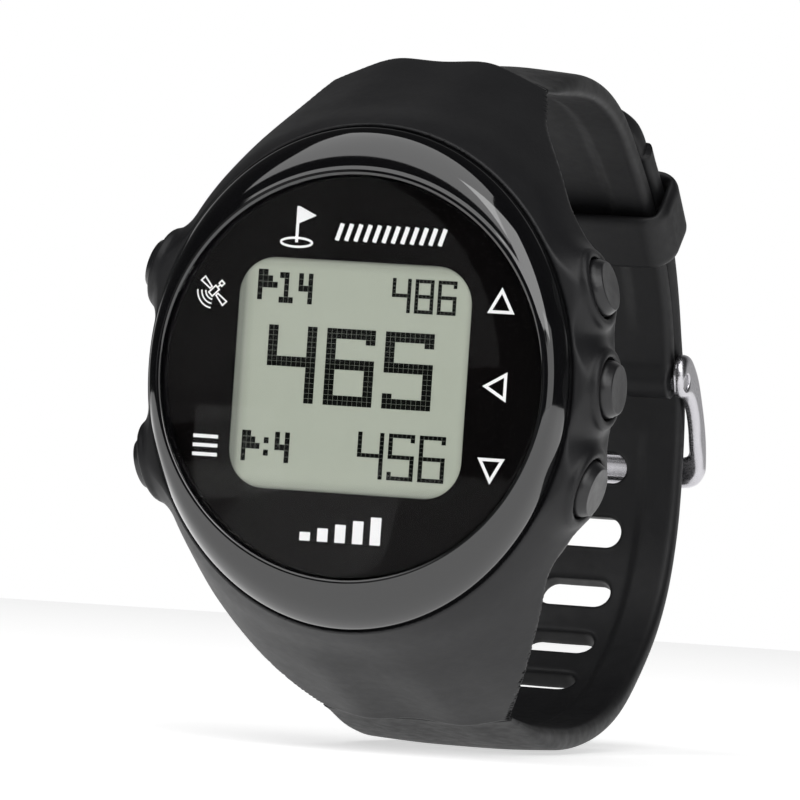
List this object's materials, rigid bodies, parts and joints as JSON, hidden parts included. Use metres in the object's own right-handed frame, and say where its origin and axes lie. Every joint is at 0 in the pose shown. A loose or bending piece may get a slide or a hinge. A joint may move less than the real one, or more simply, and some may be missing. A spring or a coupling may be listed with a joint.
{
  "type": "golf gps watch",
  "caption": "Wrist watch with a round lens over a square grey display, an oval gloss bezel, side push buttons, flared lug hoods and a buckled rubber strap.",
  "frame": {"origin": "centre of the case back's outer face, where the watch lies on the wrist", "axes": "+Y out of the case back towards the wrist and the longest way through the closed strap loop, with the dial facing -Y; +Z towards 12 o'clock; +X towards 3 o'clock, the shortest extent"},
  "size_m": [0.0477, 0.079, 0.0667],
  "materials": {
    "case": "fine matte texture",
    "bezel": "polished black",
    "lens": "clear, flat",
    "mask": "black print behind the lens",
    "lcd": "grey-green display face",
    "light_guide": "frosted",
    "inner_plastic": "moulded, natural",
    "board": "solder mask",
    "switch": "stamped",
    "elastomer": "soft",
    "battery": "foil pouch",
    "ceramic": "sintered",
    "steel": "satin",
    "contact": "gold plated",
    "button": "satin",
    "strap": "fine matte texture"
  },
  "bodies": {
    "case": {"back_gasket": "elastomer", "back_screws": "steel", "backlight": "light_guide", "battery": "battery", "battery_pad": "elastomer", "bezel": "bezel", "buckle_pin": "steel", "button_back_spring": "steel", "button_down_spring": "steel", "button_gps_spring": "steel", "button_menu_spring": "steel", "button_up_spring": "steel", "case_back": "case", "case_shell": "case", "charging_contacts": "contact", "gps_antenna": "ceramic", "inner_frame": "inner_plastic", "lcd_connector": "elastomer", "lcd_frame": "inner_plastic", "lcd_glass": "lcd", "left_switches": "switch", "lens": "lens", "lens_gasket": "elastomer", "lens_mask": "mask", "lug_pins": "steel", "main_board": "board", "right_switches": "switch", "shield_can": "switch", "strap_lower": "strap", "strap_upper": "strap"},
    "button_up": {"button_up": "button", "button_up_clip": "steel", "button_up_o_ring": "elastomer"},
    "button_back": {"button_back": "button", "button_back_clip": "steel", "button_back_o_ring": "elastomer"},
    "button_down": {"button_down": "button", "button_down_clip": "steel", "button_down_o_ring": "elastomer"},
    "button_gps": {"button_gps": "button", "button_gps_clip": "steel", "button_gps_o_ring": "elastomer"},
    "button_menu": {"button_menu": "button", "button_menu_clip": "steel", "button_menu_o_ring": "elastomer"},
    "keeper": {"keeper": "strap"},
    "buckle_frame": {"buckle_frame": "steel"},
    "buckle_tongue": {"buckle_tongue": "steel"}
  },
  "joints": [
    {"name": "button_up_press", "type": "slide", "parent": "case", "child": "button_up", "axis": [-0.9659, 0, -0.2588], "range_m": [0, 0.0008], "stiffness_N_per_m": 500, "springref_m": -0.001, "deforming": ["button_up_spring"]},
    {"name": "button_back_press", "type": "slide", "parent": "case", "child": "button_back", "axis": [-1, 0, 0], "range_m": [0, 0.0008], "stiffness_N_per_m": 500, "springref_m": -0.001, "deforming": ["button_back_spring"]},
    {"name": "button_down_press", "type": "slide", "parent": "case", "child": "button_down", "axis": [-0.9659, 0, 0.2588], "range_m": [0, 0.0008], "stiffness_N_per_m": 500, "springref_m": -0.001, "deforming": ["button_down_spring"]},
    {"name": "button_gps_press", "type": "slide", "parent": "case", "child": "button_gps", "axis": [0.9659, 0, -0.2588], "range_m": [0, 0.0008], "stiffness_N_per_m": 500, "springref_m": -0.001, "deforming": ["button_gps_spring"]},
    {"name": "button_menu_press", "type": "slide", "parent": "case", "child": "button_menu", "axis": [0.9659, 0, 0.2588], "range_m": [0, 0.0008], "stiffness_N_per_m": 500, "springref_m": -0.001, "deforming": ["button_menu_spring"]},
    {"name": "buckle_lift", "type": "hinge", "parent": "case", "child": "buckle_frame", "pos_m": [0, 0.0536, 0.0024], "axis": [1, 0, 0], "range_deg": [0, 3]},
    {"name": "tongue_lift", "type": "hinge", "parent": "buckle_frame", "child": "buckle_tongue", "pos_m": [0, 0.0536, 0.0024], "axis": [1, 0, 0], "range_deg": [0, 3]},
    {"name": "keeper_slide", "type": "slide", "parent": "case", "child": "keeper", "axis": [0, 0.7003, -0.7138], "range_m": [-0.0015, 0.0015]}
  ]
}
